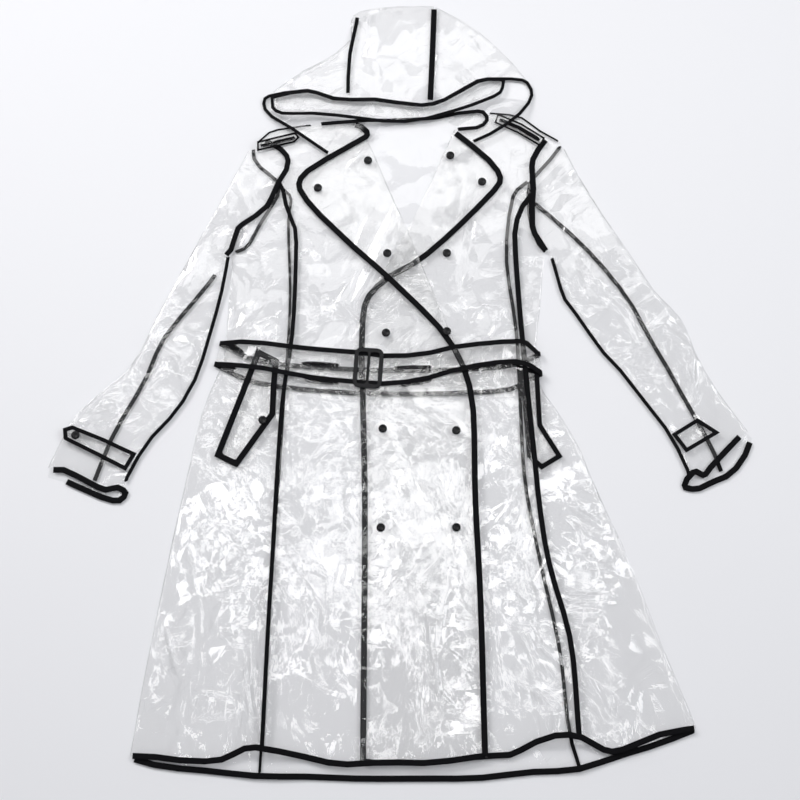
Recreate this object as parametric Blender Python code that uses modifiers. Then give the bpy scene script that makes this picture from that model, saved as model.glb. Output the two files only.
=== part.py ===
"""A clear hooded raincoat laid flat: film panels, binding tape, belt, buckle and snaps.

Plan sizes are millimetres: +X to the wearer's left, +Y towards the hood, +Z up from the floor.
Each sheet is drawn as an outline, filled with triangles, laid on the sheets under it and
thickened with Solidify. Right and left are the wearer's.
"""

import math

import bpy
import numpy as np
from mathutils import Vector
from mathutils.geometry import delaunay_2d_cdt

FILM = 1.2  # wall of the film
TAPE_WIDTH = 9.0  # binding tape
TAPE_THICK = 1.2
RIM_THICK = 2.2  # film with its tape, on pieces that carry their own binding
SEAM_GAP = 0.3  # between neighbours at a seam
LAY_GAP = 0.5  # free height between a sheet and what it lies on
TURN = 2.5  # how far a fold's turn reaches past the sheets that it joins
TURN_GAP = 1.5  # free height inside a fold
SNAP_RADIUS = 7.5
SNAP_HEIGHT = 3.6
CENTRE = np.array([1.2, 43.4, 0.0])  # middle of the laid-out coat, moved to the origin
TO_METRES = 0.001

NET_SPACING = 40.0  # triangles of a front panel
BACK_SPACING = 52.0  # triangles of a flat lower layer
SMALL_SPACING = 22.0  # triangles of a strap, flap or belt
LONGEST_EDGE = 42.0
CHORD_ERROR = 0.8
MAP_STEP = 3.0  # ground map that the sheets are laid on
LATTICE = 5  # map steps between the heights that a sheet takes from the ground
MAP_LOW = np.array([-660.0, -720.0])
MAP_CELLS = (440, 500)

FILM_COLOUR = (0.93, 0.94, 0.96)
BLACK = (0.012, 0.012, 0.013)


# Lines of the laid-out coat. Each row is a point (x, y) that a smooth line passes through.
SIDE_RIGHT = [(-436, -592), (-417, -467), (-397, -353), (-383, -273), (-353, -121), (-336, -35),
              (-317, 22), (-302, 57), (-295, 104), (-292, 160), (-288, 225), (-287, 258)]
SIDE_LEFT = [(481, -548), (424, -402), (387, -298), (356, -221), (329, -160), (299, -83),
             (270, -30), (243, 8), (231, 38), (229, 80), (233, 120), (239, 175), (243, 225), (248, 254)]
HEM_FRONT = [(-437, -593), (-406, -593), (-343, -600), (-290, -598), (-246, -579), (-176, -589),
             (-99, -605), (-24, -602), (49, -603), (138, -592), (180, -590), (218, -571),
             (257, -559), (290, -561), (341, -585), (373, -578), (419, -559), (484, -547)]
HEM_BACK = [(-437, -596), (-390, -608), (-310, -616), (-230, -624), (-149, -625), (-70, -628),
            (32, -628), (128, -627), (208, -618), (289, -613), (353, -593), (420, -573), (484, -549)]
PRINCESS_FRONT_RIGHT = [(-224, -583), (-215, -339), (-199, -1), (-185, 104), (-180, 247),
                        (-182, 303), (-197, 340), (-203, 370), (-213, 390)]
PRINCESS_FRONT_LEFT = [(291, -561), (280, -405), (246, -273), (220, -35), (209, 104), (201, 230),
                       (199, 296), (205, 325), (216, 348), (232, 365)]
PRINCESS_BACK_RIGHT = [(-228, -622), (-215, -339), (-197, -1), (-189, 175), (-194, 320),
                       (-191, 362), (-217, 386)]
PRINCESS_BACK_LEFT = [(292, -612), (277, -559), (263, -421), (233, -273), (210, -138), (204, -1),
                      (199, 122), (184, 249), (191, 335), (201, 370), (226, 392)]
EDGE_RIGHT = [(138, -592), (133, -339), (126, -172), (122, -1), (106, 60), (69, 122), (0, 193),
              (-95, 283), (-160, 350), (-176, 380), (-167, 401), (-123, 433), (-62, 469)]
NOTCH_RIGHT = [(-58, 473), (-58, 480), (-66, 489), (-78, 494)]
EDGE_LEFT = [(-60, -600), (-59, -172), (-63, -1), (-65, 104), (-58, 172), (-24, 212), (35, 247),
             (148, 354), (175, 391), (163, 418), (125, 455), (98, 477)]
ROLL_RIGHT = [(113, 46), (78, 132), (16, 286), (-63, 476)]
ROLL_LEFT = [(-61, 166), (-36, 212), (20, 310), (97, 484)]
ARMHOLE_FRONT_RIGHT = [(-304, 250), (-293, 263), (-286, 286), (-280, 305), (-261, 318), (-230, 345), (-216, 377),
                       (-198, 411), (-197, 433), (-212, 451), (-238, 464)]
ARMHOLE_FRONT_LEFT = [(255, 258), (243, 277), (231, 300), (229, 334), (232, 365), (231, 400),
                      (231, 423), (238, 441), (256, 466)]
ARMHOLE_BACK_RIGHT = [(-292, 258), (-266, 270), (-247, 305), (-228, 338), (-213, 364), (-212, 386),
                      (-225, 400), (-243, 414), (-256, 433), (-257, 452)]
ARMHOLE_BACK_LEFT = [(256, 256), (240, 276), (227, 312), (224, 350), (226, 384), (240, 404),
                     (258, 424), (276, 446), (283, 458)]
SHOULDER_RIGHT = [(-254, 454), (-243, 466), (-226, 481), (-195, 488), (-150, 494)]
SHOULDER_LEFT = [(152, 516), (190, 513), (216, 506), (240, 486), (283, 460)]
BACK_TOP = [(-254, 454), (-243, 466), (-226, 481), (-195, 488), (-150, 494), (-81, 499), (0, 503),
            (60, 506), (112, 515), (152, 516), (190, 513), (216, 506), (240, 486), (283, 460)]
NECK_TAPE = [(-140, 494), (-81, 499), (0, 503), (60, 506), (118, 517), (146, 516), (153, 502),
             (141, 489), (100, 483)]
FRONT_TOP_RIGHT = [(-254, 454), (-243, 466), (-226, 481), (-195, 488), (-150, 494), (-110, 497),
                   (-81, 494), (-66, 482)]
FRONT_TOP_LEFT = [(100, 484), (128, 487), (148, 500), (166, 513), (190, 513), (216, 506),
                  (240, 486), (283, 460)]
SLEEVE_FOLD_RIGHT = [(-590, -118), (-551, -35), (-505, 12), (-460, 52), (-411, 150), (-363, 247),
                     (-312, 347), (-262, 446)]
SLEEVE_FOLD_LEFT = [(586, -56), (534, 18), (501, 83), (480, 140), (437, 188), (398, 252),
                    (351, 326), (313, 392), (286, 448)]
SLEEVE_INNER_RIGHT = [(-467, -166), (-459, -134), (-424, -71), (-386, -28), (-366, 1), (-345, 44), (-328, 104),
                      (-306, 193), (-296, 256)]
SLEEVE_INNER_LEFT = [(482, -157), (487, -134), (453, -56), (413, -1), (372, 55), (345, 85), (307, 143),
                     (282, 179), (271, 220), (261, 254)]
SLEEVE_MIDDLE_RIGHT = [(-516, -146), (-484, -59), (-434, 34), (-406, 104), (-355, 172), (-320, 218),
                       (-301, 246)]
SLEEVE_MIDDLE_LEFT = [(543, -130), (525, -80), (476, 15), (454, 59), (428, 106), (395, 172),
                      (349, 236), (307, 283), (281, 308), (232, 352)]
CUFF_FRONT_RIGHT = [(-590, -120), (-566, -121), (-531, -138), (-494, -156), (-462, -150)]
CUFF_BACK_RIGHT = [(-592, -130), (-565, -137), (-526, -155), (-486, -172), (-458, -168)]
CUFF_FRONT_LEFT = [(488, -130), (497, -124), (510, -130), (525, -114), (536, -102), (552, -87),
                   (569, -70), (588, -58)]
CUFF_BACK_LEFT = [(478, -154), (500, -153), (521, -143), (547, -133), (566, -118), (584, -92),
                  (592, -66)]
CUFF_TAPE_RIGHT = [(-583, -121), (-566, -121), (-531, -138), (-494, -155), (-474, -151),
                   (-461, -160), (-469, -172), (-486, -172), (-526, -156), (-560, -141)]
CUFF_TAPE_LEFT = [(573, -65), (552, -87), (536, -102), (525, -114), (511, -130), (497, -124),
                  (482, -137), (479, -150), (500, -153), (521, -143), (547, -133), (566, -118),
                  (584, -92), (591, -74)]
HOOD_FOLD_RIGHT = [(-237, 543), (-177, 588), (-118, 622), (-87, 652)]
HOOD_FOLD_LEFT = [(222, 576), (198, 608), (142, 664), (100, 694), (62, 715)]
CROWN = [(-84, 656), (-80, 700), (-10, 715), (61, 716)]
HOOD_SEAM_BACK_RIGHT = [(-40, 503), (-60, 590), (-85, 654)]
HOOD_SEAM_BACK_LEFT = [(60, 507), (63, 610), (61, 715)]
HOOD_SEAM_RIGHT = [(-92, 544), (-91, 600), (-85, 654)]
HOOD_SEAM_LEFT = [(53, 532), (57, 616), (61, 715)]
HOOD_SEAM_TAPE_RIGHT = [(-92, 544), (-91, 600), (-86, 646), (-81, 664), (-76, 698)]
VISOR_SEAM = [(-232, 545), (-177, 556), (-155, 556), (-115, 543), (-44, 541), (53, 531), (100, 553),
              (142, 577), (186, 580), (221, 575)]
VISOR_EDGE = [(-228, 541), (-226, 522), (-209, 510), (-158, 511), (-97, 505), (-35, 496), (35, 499),
              (88, 513), (150, 535), (180, 553), (186, 577)]
FACE_RIGHT = [(-237, 544), (-240, 530), (-230, 513), (-176, 475), (-124, 438)]
FACE_LEFT = [(127, 460), (176, 485), (214, 516), (233, 553), (222, 575)]
GORGE_RIGHT = [(-124, 438), (-90, 458), (-66, 478), (-60, 497), (-40, 503)]
GORGE_LEFT = [(60, 507), (84, 500), (104, 482), (127, 460)]
BELT_FRONT_TOP = [(-304, 101), (-274, 104), (-178, 94), (-68, 84), (-20, 78), (51, 84), (106, 96),
                  (171, 103), (214, 101), (236, 82)]
BELT_FRONT_BOTTOM = [(-314, 57), (-247, 51), (-187, 39), (-77, 25), (-20, 22), (51, 33),
                     (119, 51), (188, 60), (216, 54), (239, 40)]
BELT_BACK_TOP = [(-304, 101), (-258, 77), (-206, 66), (-100, 58), (0, 55), (100, 57), (190, 64),
                 (236, 82)]
BELT_BACK_BOTTOM = [(-314, 57), (-265, 32), (-213, 20), (-100, 9), (0, 6), (100, 8), (190, 15),
                    (239, 40)]

# Small pieces: a row for each corner (x, y).
FLAP_RIGHT = [(-244, 88), (-206, 68), (-209, 30), (-211, -28), (-274, -117), (-313, -98)]
FLAP_LEFT = [(203, 58), (236, 50), (240, -44), (274, -99), (238, -121), (214, -100)]
CUFF_STRAP_RIGHT = [(-512, -97), (-461, -123), (-444, -93), (-500, -67), (-553, -46), (-569, -51),
                    (-567, -70)]
CUFF_STRAP_LEFT = [(459, -60), (503, -33), (540, -58), (482, -92)]
EPAULETTE_RIGHT = [(-250, 443), (-185, 460), (-176, 470), (-184, 479), (-250, 460)]
EPAULETTE_LEFT = [(166, 497), (206, 478), (246, 452), (254, 468), (214, 495), (172, 514)]

# Snaps: name, x, y.
SNAPS = [
    ("snap_lapel_right_upper", -56, 427),
    ("snap_lapel_right_corner", -143, 376),
    ("snap_lapel_left_upper", 88, 436),
    ("snap_lapel_left_corner", 143, 387),
    ("snap_front_right_1", -22, 256),
    ("snap_front_right_2", -24, 116),
    ("snap_front_right_3", -29, -51),
    ("snap_front_right_4", -32, -219),
    ("snap_front_left_1", 81, 259),
    ("snap_front_left_2", 80, 117),
    ("snap_front_left_3", 95, -54),
    ("snap_front_left_4", 94, -219),
    ("snap_pocket_flap", -232, -37),
    ("snap_cuff_strap", -547, -63),
]

# Largest folds of the upper layers: from x, y to x, y, how high, and how wide to each side.
FOLDS = [
    # x0, y0, x1, y1, height, width
    (-232, -600, -212, -330, 9.0, 34.0),
    (262, -575, 236, -300, 11.0, 36.0),
    (-330, -600, -290, -260, 6.0, 30.0),
    (-120, -600, -100, -380, 4.0, 30.0),
    (60, -600, 40, -320, 5.0, 32.0),
    (380, -570, 320, -300, 6.5, 30.0),
    (180, -420, 120, -120, 5.0, 30.0),
    (-120, -300, -160, -30, 4.5, 28.0),
    (-250, 150, -240, 290, 4.0, 24.0),
    (120, 160, 150, 330, 4.0, 26.0),
    (-130, 180, -150, 330, 3.5, 26.0),
    (-560, -60, -330, 250, 5.5, 26.0),
    (-500, 30, -400, 60, 4.5, 22.0),
    (-400, 190, -330, 200, 4.0, 22.0),
    (560, -50, 320, 320, 5.5, 24.0),
    (420, 60, 490, 90, 4.5, 22.0),
    (330, 220, 400, 230, 4.0, 22.0),
    (-170, 575, -110, 640, 6.0, 26.0),
    (-30, 570, -20, 690, 5.0, 28.0),
    (110, 590, 120, 650, 6.5, 28.0),
]

BUCKLE = {"x": -54.0, "y": 52.0, "width": 50.0, "height": 70.0, "bar": 7.5, "middle_bar": 5.0,
          "thick": 3.2, "corner": 11.0, "tilt": -4.0}


def lengths(line):
    """Distance along a line at each of its points."""
    return np.concatenate([[0.0], np.cumsum(np.linalg.norm(np.diff(line, axis=0), axis=1))])


def smooth(points, step=2.0):
    """A closely spaced Catmull-Rom line through the points."""
    points = np.array(points, float)
    padded = np.vstack([2 * points[0] - points[1], points, 2 * points[-1] - points[-2]])
    pieces = []
    for a, b, c, d in zip(padded, padded[1:], padded[2:], padded[3:]):
        t = np.linspace(0, 1, max(2, math.ceil(np.linalg.norm(c - b) / step)), endpoint=False)[:, None]
        ab, bc, cd = (max(np.linalg.norm(q - p), 1e-6) ** 0.5 for p, q in ((a, b), (b, c), (c, d)))
        out = ((c - b) / bc - (c - a) / (ab + bc) + (b - a) / ab) * bc
        into = ((d - c) / cd - (d - b) / (bc + cd) + (c - b) / bc) * bc
        pieces.append((2 * t**3 - 3 * t**2 + 1) * b + (t**3 - 2 * t**2 + t) * out
                      + (3 * t**2 - 2 * t**3) * c + (t**3 - t**2) * into)
    return np.vstack(pieces + [points[-1:]])


def off_chord(points):
    """Greatest distance of points from the straight line between the first and the last."""
    way = points[-1] - points[0]
    out = (points[:, 0] - points[0, 0]) * way[1] - (points[:, 1] - points[0, 1]) * way[0]
    return np.abs(out).max() / max(np.linalg.norm(way), 1e-9)


def line(points, longest=LONGEST_EDGE):
    """A smooth line with only the points that its bends need."""
    fine = smooth(points)
    run = lengths(fine)
    kept = [0]
    for i in range(2, len(fine)):
        start = kept[-1]
        if run[i] - run[start] > longest or off_chord(fine[start:i + 1]) > CHORD_ERROR:
            kept.append(i - 1)
    return fine[kept + [len(fine) - 1]]


def offset(path, distance):
    """The line moved sideways, to its left if the distance is positive."""
    way = np.diff(path, axis=0)
    way /= np.linalg.norm(way, axis=1)[:, None]
    normal = np.stack([-way[:, 1], way[:, 0]], axis=1)
    before = np.vstack([normal[:1], normal])
    after = np.vstack([normal, normal[-1:]])
    middle = before + after
    middle /= np.linalg.norm(middle, axis=1)[:, None]
    stretch = np.maximum((middle * after).sum(axis=1), 0.5)
    return path + middle * (distance / stretch)[:, None]


def extended(path, length=30.0):
    first = path[0] - path[1]
    last = path[-1] - path[-2]
    return np.vstack([path[0] + first / np.linalg.norm(first) * length, path,
                      path[-1] + last / np.linalg.norm(last) * length])


def crossing(first, second, near):
    """Where two lines cross, nearest to a point."""
    p, r = first[:-1, None], np.diff(first, axis=0)[:, None]
    q, s = second[None, :-1], np.diff(second, axis=0)[None]
    cross = r[..., 0] * s[..., 1] - r[..., 1] * s[..., 0]
    cross = np.where(np.abs(cross) < 1e-9, 1e-9, cross)
    gap = q - p
    t = (gap[..., 0] * s[..., 1] - gap[..., 1] * s[..., 0]) / cross
    u = (gap[..., 0] * r[..., 1] - gap[..., 1] * r[..., 0]) / cross
    hits = (p + t[..., None] * r)[(t >= 0) & (t <= 1) & (u >= 0) & (u <= 1)]
    if not len(hits):
        raise ValueError(f"lines don't cross near {near}")
    return hits[np.argmin(np.linalg.norm(hits - near, axis=1))]


def place(path, point):
    """Distance along the line to its point nearest to the given one."""
    start, way = path[:-1], np.diff(path, axis=0)
    t = np.clip(((point - start) * way).sum(axis=1) / (way**2).sum(axis=1), 0, 1)
    away = np.linalg.norm(start + t[:, None] * way - point, axis=1)
    i = np.argmin(away)
    run = lengths(path)
    return run[i] + t[i] * (run[i + 1] - run[i])


def between(path, start, end):
    """The stretch of a line from one point to another, either way along it."""
    a, b = place(path, start), place(path, end)
    run = lengths(path)
    inner = path[(run > min(a, b) + 1.0) & (run < max(a, b) - 1.0)]
    if a > b:
        inner = inner[::-1]
    return np.vstack([start, inner, end])


def outline(runs, folds=()):
    """Closes lines, in turn, into an outline: each is cut where it meets the next.

    The runs listed in folds keep all their points.
    """
    count = len(runs)
    corners = []
    for i in range(count):
        here, following = runs[i], runs[(i + 1) % count]
        if i in folds:
            corners.append(here[-1])
        elif (i + 1) % count in folds:
            corners.append(following[0])
        else:
            corners.append(crossing(extended(here), extended(following), (here[-1] + following[0]) / 2))
    points = []
    for i, here in enumerate(runs):
        whole = here if i in folds else between(extended(here), corners[i - 1], corners[i])
        points.extend(whole[:-1])
    return np.array(points)


def area(points):
    x, y = points[:, 0], points[:, 1]
    return 0.5 * (x * np.roll(y, -1) - y * np.roll(x, -1)).sum()


def inside(points, ring):
    """Which points lie within a closed outline."""
    odd = np.zeros(len(points), bool)
    for (x0, y0), (x1, y1) in zip(ring, np.roll(ring, -1, axis=0)):
        spans = (y0 > points[:, 1]) != (y1 > points[:, 1])
        rise = y1 - y0 if y1 != y0 else 1e-12
        odd ^= spans & (points[:, 0] < (x1 - x0) * (points[:, 1] - y0) / rise + x0)
    return odd


def from_ring(points, ring):
    """Distance of points from a closed outline."""
    nearest = np.full(len(points), np.inf)
    for start, end in zip(ring, np.roll(ring, -1, axis=0)):
        way = end - start
        t = np.clip(((points - start) @ way) / (way @ way), 0, 1)
        nearest = np.minimum(nearest, np.linalg.norm(points - start - t[:, None] * way, axis=1))
    return nearest


def net(ring, spacing, rim=0.0):
    """Triangles over an outline: (points, faces, which points are on its thick rim)."""
    if area(ring) < 0:
        ring = ring[::-1]
    rings = [ring]
    if rim:
        closed = np.vstack([ring[-1], ring, ring[0]])
        rings += [offset(closed, rim - 0.4)[1:-1], offset(closed, rim + 0.4)[1:-1]]
    low, high = ring.min(axis=0), ring.max(axis=0)
    rows = []
    row_step = spacing * math.sqrt(0.75)
    for j, y in enumerate(np.arange(low[1] + row_step / 2, high[1], row_step)):
        xs = np.arange(low[0] + spacing * (0.25 + 0.5 * (j % 2)), high[0], spacing)
        rows.append(np.stack([xs, np.full(len(xs), y)], axis=1))
    lattice = np.vstack(rows)
    lattice = lattice[inside(lattice, ring)]
    lattice = lattice[from_ring(lattice, ring) > rim + 0.55 * spacing]
    points = np.vstack(rings + [lattice])
    edges = []
    start = 0
    for one in rings:
        edges += [(start + i, start + (i + 1) % len(one)) for i in range(len(one))]
        start += len(one)
    found = delaunay_2d_cdt([Vector(p) for p in points], edges, [], 1, 1e-5)
    made = np.array([tuple(v) for v in found[0]])
    faces = np.array([tuple(f) for f in found[2]])
    corner = made[faces]
    turn = np.cross(corner[:, 1] - corner[:, 0], corner[:, 2] - corner[:, 0])
    faces[turn < 0] = faces[turn < 0][:, ::-1]
    thick = from_ring(made, ring) < rim - 0.2 if rim else np.zeros(len(made), bool)
    return made, faces, thick


def cells(corner):
    """The ground map's cells whose middles lie under a triangle: (x, y, shares of the corners)."""
    low = np.floor((corner.min(axis=0)[:2] - MAP_LOW) / MAP_STEP).astype(int)
    high = np.ceil((corner.max(axis=0)[:2] - MAP_LOW) / MAP_STEP).astype(int)
    x, y = np.meshgrid(np.arange(low[0], high[0] + 1), np.arange(low[1], high[1] + 1), indexing="ij")
    x, y = x.ravel(), y.ravel()
    a, b, c = corner[:, :2]
    whole = (b[0] - a[0]) * (c[1] - a[1]) - (c[0] - a[0]) * (b[1] - a[1])
    if abs(whole) < 1e-9:
        return x[:0], y[:0], np.zeros((0, 3))
    px, py = MAP_LOW[0] + x * MAP_STEP, MAP_LOW[1] + y * MAP_STEP
    u = ((px - a[0]) * (c[1] - a[1]) - (c[0] - a[0]) * (py - a[1])) / whole
    v = ((b[0] - a[0]) * (py - a[1]) - (px - a[0]) * (b[1] - a[1])) / whole
    on = (u >= -1e-6) & (v >= -1e-6) & (u + v <= 1 + 1e-6)
    return x[on], y[on], np.stack([1 - u - v, u, v], axis=1)[on]


def widest(grid, reach):
    """Each cell takes the highest value within so many cells."""
    for axis in (0, 1):
        rolled = [np.roll(grid, step, axis) for step in range(-reach, reach + 1)]
        grid = np.maximum.reduce(rolled)
    return grid


class Pile:
    """The top of everything laid so far, kept by sheet, as maps of the floor."""

    def __init__(self):
        self.tops = {}

    def add(self, name, points, faces, half):
        top = np.full(MAP_CELLS, -np.inf)
        for face in faces:
            x, y, share = cells(points[face])
            np.maximum.at(top, (x, y), share @ points[face][:, 2] + half)
        grown = widest(top, 1)
        top = np.where(np.isfinite(top), top, grown)
        self.tops[name] = top

    def ground(self, beside=()):
        kept = [top for name, top in self.tops.items() if not name.startswith(tuple(beside) or ("-",))]
        return np.maximum.reduce([np.zeros(MAP_CELLS)] + kept)


PILE = Pile()


def relief(points):
    """Height that the large folds add."""
    total = np.zeros(len(points))
    for x0, y0, x1, y1, height, width in FOLDS:
        start, way = np.array([x0, y0]), np.array([x1 - x0, y1 - y0], float)
        t = ((points - start) @ way) / (way @ way)
        inner = np.clip(t, 0, 1)
        away = np.linalg.norm(points - start - inner[:, None] * way, axis=1)
        total = np.maximum(total, height * np.exp(-((away / width) ** 2)))
    return total


def heights(points, ground):
    """Height of a supple sheet over the ground, taken on a lattice and blended between."""
    high = widest(ground, LATTICE)
    high = np.where(high > 0.01, high + LAY_GAP, 0.0)
    spot = (points - MAP_LOW) / (MAP_STEP * LATTICE)
    low = np.floor(spot).astype(int)
    part = spot - low
    total = np.zeros(len(points))
    for dx in (0, 1):
        for dy in (0, 1):
            share = np.abs(1 - dx - part[:, 0]) * np.abs(1 - dy - part[:, 1])
            total += share * high[(low[:, 0] + dx) * LATTICE, (low[:, 1] + dy) * LATTICE]
    return total


def settle(points, faces, ground, half, gap):
    """Lifts the sheet wherever its underside comes nearer to the ground than the gap."""
    for _ in range(6):
        lift = np.zeros(len(points))
        for face in faces:
            x, y, share = cells(points[face])
            under = ground[x, y]
            short = np.where(under > 0.01, under + gap, 0.0) + half - share @ points[face][:, 2]
            if len(short) and short.max() > 0:
                lift[face] = np.maximum(lift[face], short.max())
        points[:, 2] += lift
        if lift.max() < 0.005:
            break


def lay(name, ring, spacing=NET_SPACING, beside=(), rim=0.0, gap=LAY_GAP, folds_over=None):
    """Lays a film sheet on the pile. Its points are the middle of the wall.

    folds_over is the ground that the large folds rise from, if the sheet takes them.
    """
    flat, faces, thick = net(ring, spacing, rim)
    half = (RIM_THICK if rim else FILM) / 2
    ground = PILE.ground(beside)
    z = heights(flat, ground)
    if folds_over is not None:
        z = np.maximum(z, heights(flat, folds_over) + relief(flat))
    points = np.column_stack([flat, z + half])
    settle(points, faces, ground, half, gap)
    PILE.add(name, points, faces, half)
    return {"points": points, "faces": [tuple(f) for f in faces], "thick": thick}


def turned(lower, upper, fold, outward):
    """Joins two sheets, one over the other, round a turn along the fold line between them.

    outward is +1 where the turn lies to the left of the fold line and -1 where to its right.
    """
    start = len(lower["points"])
    points = np.vstack([lower["points"], upper["points"]])
    faces = [f[::-1] for f in lower["faces"]] + [tuple(i + start for i in f) for f in upper["faces"]]
    thick = np.concatenate([lower["thick"], upper["thick"]])
    whole = {"points": points, "faces": faces, "thick": thick, "start": start}
    return turn(whole, fold, outward)


def turn(whole, fold, outward):
    """Adds the turn along one fold line to a sheet that holds both layers."""
    points, faces, thick, start = (whole[key] for key in ("points", "faces", "thick", "start"))
    end = whole.get("end", len(points))
    away = offset(fold, outward) - fold
    away /= np.linalg.norm(away, axis=1)[:, None]
    columns = []
    for spot, out in zip(fold, away):
        under = np.argmin(np.linalg.norm(points[:start, :2] - spot, axis=1))
        over = start + np.argmin(np.linalg.norm(points[start:end, :2] - spot, axis=1))
        middle = (points[under] + points[over]) / 2
        rise = (points[over, 2] - points[under, 2]) / 2
        column = [under]
        for angle in (45, 90, 135):
            side = TURN * math.sin(math.radians(angle))
            spot3 = middle + [out[0] * side, out[1] * side, -rise * math.cos(math.radians(angle))]
            column.append(len(points))
            points = np.vstack([points, spot3])
            thick = np.append(thick, thick[under])
        columns.append(column + [over])
    for left, right in zip(columns, columns[1:]):
        if outward > 0:
            left, right = right, left
        for i in range(4):
            faces.append((left[i], right[i], right[i + 1], left[i + 1]))
    return {"points": points, "faces": faces, "thick": thick, "start": start, "end": end}


def material(name, colour, roughness, alpha=1.0):
    made = bpy.data.materials.get(name)
    if made:
        return made
    made = bpy.data.materials.new(name)
    made.use_nodes = True
    shader = made.node_tree.nodes["Principled BSDF"]
    shader.inputs["Base Color"].default_value = (*colour, 1.0)
    shader.inputs["Roughness"].default_value = roughness
    shader.inputs["Alpha"].default_value = alpha
    return made


def add_object(name, mesh, finish):
    mesh.materials.append(finish)
    made = bpy.data.objects.new(name, mesh)
    bpy.data.collections["raincoat"].objects.link(made)
    return made


def film(name, sheet, thickness=FILM):
    """Makes a laid sheet into a wall with Solidify, thicker on its rim."""
    mesh = bpy.data.meshes.new(name)
    points = (sheet["points"] - CENTRE) * TO_METRES
    mesh.from_pydata([tuple(p) for p in points], [], [tuple(map(int, f)) for f in sheet["faces"]])
    finish = material("clear_film", FILM_COLOUR, 0.08, 0.35)
    made = add_object(name, mesh, finish)
    wall = made.modifiers.new("wall", "SOLIDIFY")
    wall.offset = 0
    wall.use_even_offset = True
    wall.thickness = thickness * TO_METRES
    if sheet["thick"].any():
        group = made.vertex_groups.new(name="rim")
        group.add([int(i) for i in np.flatnonzero(sheet["thick"])], 1.0, "REPLACE")
        wall.thickness = RIM_THICK * TO_METRES
        wall.vertex_group = "rim"
        wall.thickness_vertex_group = FILM / RIM_THICK
    return made


def trimmed(path, start=0.0, end=0.0):
    """The line without so many millimetres at its two ends."""
    run = lengths(path)
    cuts = [start, run[-1] - end]
    ends = [np.array([np.interp(s, run, path[:, k]) for k in (0, 1)]) for s in cuts]
    inner = path[(run > cuts[0] + 2) & (run < cuts[1] - 2)]
    return np.vstack([ends[0], inner, ends[1]])


def tape(name, path, beside=(), start=0.0, end=0.0):
    """Lays binding tape along a line, on top of the edges that it binds."""
    path = trimmed(path, start, end)
    half = TAPE_THICK / 2
    left, right = offset(path, TAPE_WIDTH / 2), offset(path, -TAPE_WIDTH / 2)
    ground = PILE.ground(beside)
    spots = np.stack([left, path, right], axis=1)
    grid = np.round((spots - MAP_LOW) / MAP_STEP).astype(int)
    z = ground[grid[..., 0], grid[..., 1]].max(axis=1) + half + LAY_GAP
    count = len(path)
    points = np.vstack([np.column_stack([left, z]), np.column_stack([right, z])])
    faces = [(i, i + count, i + 1 + count, i + 1) for i in range(count - 1)]
    halves = np.array([(f[0], f[1], f[2]) for f in faces] + [(f[0], f[2], f[3]) for f in faces])
    settle(points, halves, ground, half, LAY_GAP)
    PILE.add(name, points, halves, half)
    mesh = bpy.data.meshes.new(name)
    mesh.from_pydata([tuple(p) for p in (points - CENTRE) * TO_METRES], [], faces)
    made = add_object(name, mesh, material("black_tape", BLACK, 0.35))
    wall = made.modifiers.new("wall", "SOLIDIFY")
    wall.offset = 0
    wall.thickness = TAPE_THICK * TO_METRES
    return made


def free_left(path):
    """A free edge to the left of its tape's line: the film reaches most of the way under the tape."""
    return offset(path, TAPE_WIDTH / 2 - 1.0)


def free_right(path):
    return offset(path, 1.0 - TAPE_WIDTH / 2)


def hem(path):
    return free_right(path)


def left_of(path):
    return offset(path, SEAM_GAP / 2)


def right_of(path):
    return offset(path, -SEAM_GAP / 2)


def back(path):
    return path[::-1]


def top_within(x, y, reach_x, reach_y):
    """The highest ground under a hard piece, taken over an ellipse."""
    across = (MAP_LOW[0] + np.arange(MAP_CELLS[0]) * MAP_STEP - x) / (reach_x + MAP_STEP / 2)
    along = (MAP_LOW[1] + np.arange(MAP_CELLS[1]) * MAP_STEP - y) / (reach_y + MAP_STEP / 2)
    return PILE.ground()[across[:, None] ** 2 + along[None] ** 2 < 1].max()


def moved(made, name, collection="raincoat"):
    """Renames an object and puts it in one of the collections."""
    made.name = made.data.name = name
    for holder in list(made.users_collection):
        holder.objects.unlink(made)
    bpy.data.collections[collection].objects.link(made)
    return made


def snap(name, x, y):
    """A domed snap cap: a short cylinder with a rounded upper edge."""
    z = top_within(x, y, SNAP_RADIUS, SNAP_RADIUS) + SEAM_GAP
    bpy.ops.mesh.primitive_cylinder_add(
        vertices=14, radius=SNAP_RADIUS * TO_METRES, depth=SNAP_HEIGHT * TO_METRES,
        location=(np.array([x, y, z + SNAP_HEIGHT / 2]) - CENTRE) * TO_METRES)
    made = moved(bpy.context.object, name)
    for edge in made.data.edges:
        if all(made.data.vertices[i].co.z > 0 for i in edge.vertices):
            bevel_weight(made).data[edge.index].value = 1.0
    rounded = made.modifiers.new("dome", "BEVEL")
    rounded.limit_method = "WEIGHT"
    rounded.width = 2.4 * TO_METRES
    rounded.segments = 2
    made.data.materials.append(material("snap_black", BLACK, 0.3))


def bevel_weight(made):
    attributes = made.data.attributes
    return attributes.get("bevel_weight_edge") or attributes.new("bevel_weight_edge", "FLOAT", "EDGE")


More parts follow.
